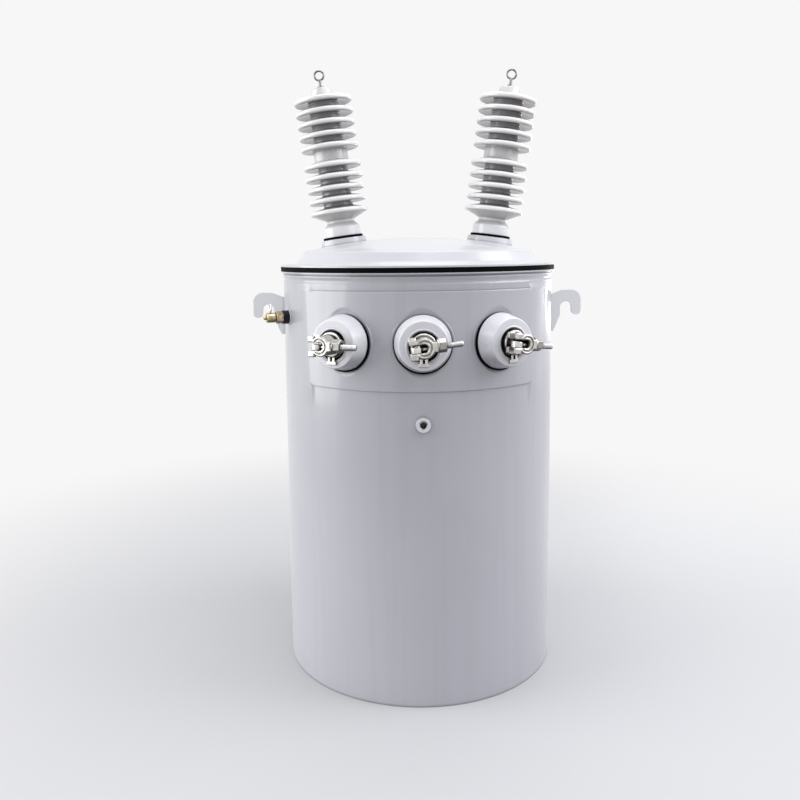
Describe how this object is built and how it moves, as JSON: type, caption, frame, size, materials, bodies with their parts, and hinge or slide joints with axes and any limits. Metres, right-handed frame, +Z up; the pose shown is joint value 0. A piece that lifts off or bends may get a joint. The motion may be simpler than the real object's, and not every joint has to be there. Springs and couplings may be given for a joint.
{
  "type": "pole mounted transformer",
  "caption": "Round oil-filled distribution transformer for a pole, with leaning porcelain high voltage bushings on a domed cover and low voltage eyebolt bushings on the front wall.",
  "frame": {"origin": "on the tank's axis, in the plane of the floor that the tank stands on", "axes": "+Z up along the tank's axis, -Y out of the front where the low voltage bushings are, +Y towards the pole, +X to the right seen from the front"},
  "size_m": [0.62, 0.6191, 1.0954],
  "materials": {
    "tank_paint": "smooth light grey gloss paint, slightly uneven",
    "black_rubber": "matt black moulded rubber",
    "hv_porcelain": "pale grey glaze, wet gloss",
    "lv_porcelain": "pale grey satin glaze",
    "tinned_metal": "tin plated cast bronze and steel, bright with dull hollows",
    "valve_brass": "turned brass, lightly tarnished",
    "valve_steel": "bright wire",
    "black_steel": "black painted steel",
    "core_mass": "sealed inside, never seen"
  },
  "bodies": {
    "root": {"tank_wall": "tank_paint", "tank_bottom": "tank_paint", "bushing_plate": "tank_paint", "cover": "tank_paint", "ground_boss": "tank_paint", "lifting_lug_left": "tank_paint", "lifting_lug_right": "tank_paint", "hanger_bracket_upper": "tank_paint", "hanger_bracket_lower": "tank_paint", "cover_gasket": "black_rubber", "hv_gasket_left": "black_rubber", "hv_gasket_right": "black_rubber", "lv_gasket_left": "black_rubber", "lv_gasket_centre": "black_rubber", "lv_gasket_right": "black_rubber", "hv_bushing_left": "hv_porcelain", "hv_bushing_right": "hv_porcelain", "lv_bushing_left": "lv_porcelain", "lv_bushing_centre": "lv_porcelain", "lv_bushing_right": "lv_porcelain", "lv_stud_left": "tinned_metal", "lv_stud_centre": "tinned_metal", "lv_stud_right": "tinned_metal", "lv_clamp_left": "tinned_metal", "lv_clamp_centre": "tinned_metal", "lv_clamp_right": "tinned_metal", "lv_eyebolt_left": "tinned_metal", "lv_eyebolt_centre": "tinned_metal", "lv_eyebolt_right": "tinned_metal", "lv_nut_left": "tinned_metal", "lv_nut_centre": "tinned_metal", "lv_nut_right": "tinned_metal", "hv_cap_left": "tinned_metal", "hv_cap_right": "tinned_metal", "hv_eye_left": "tinned_metal", "hv_eye_right": "tinned_metal", "relief_valve_body": "valve_brass", "relief_valve_cap": "valve_brass", "relief_valve_ring": "valve_steel", "relief_valve_bush": "black_steel", "core_and_oil": "core_mass"}
  },
  "joints": []
}
